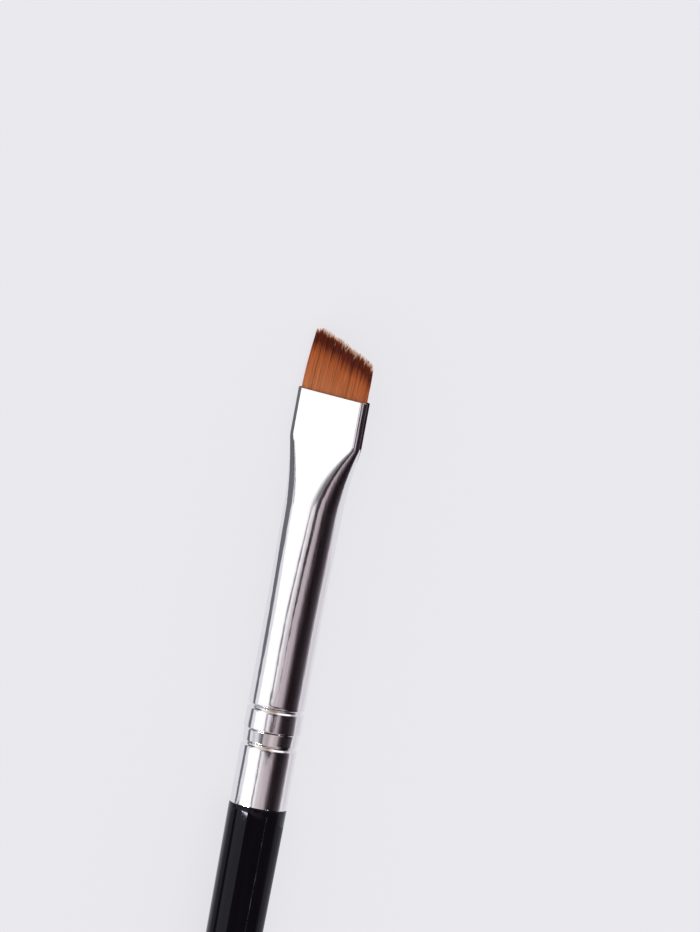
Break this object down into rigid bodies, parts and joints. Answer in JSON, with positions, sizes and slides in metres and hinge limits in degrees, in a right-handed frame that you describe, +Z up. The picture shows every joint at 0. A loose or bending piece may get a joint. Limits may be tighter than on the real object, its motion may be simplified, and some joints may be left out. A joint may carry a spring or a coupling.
{
  "type": "eyeliner brush",
  "caption": "Slanted eyeliner brush: gloss black tapered handle, bright metal ferrule pressed flat at the mouth, and a short flat brown tuft cut on a slant.",
  "frame": {"origin": "on the surface the brush lies on, under the middle of its length and on its centre line", "axes": "+Y along the brush, from the butt to the slanted tip; +Z up from the surface; the long corner of the tuft is on the -X side, where the edge of the flat mouth rests on the surface, so the flat faces lean by about 40 degrees"},
  "size_m": [0.0066, 0.1688, 0.0059],
  "materials": {
    "black_lacquered_wood": "gloss black lacquer",
    "bright_metal": "bright polished",
    "set_glue": "clear amber, as poured",
    "brown_filament": "smooth tapered filaments"
  },
  "bodies": {
    "root": {"handle": "black_lacquered_wood", "ferrule": "bright_metal", "glue_plug": "set_glue", "bristle_tuft": "brown_filament"}
  },
  "joints": []
}
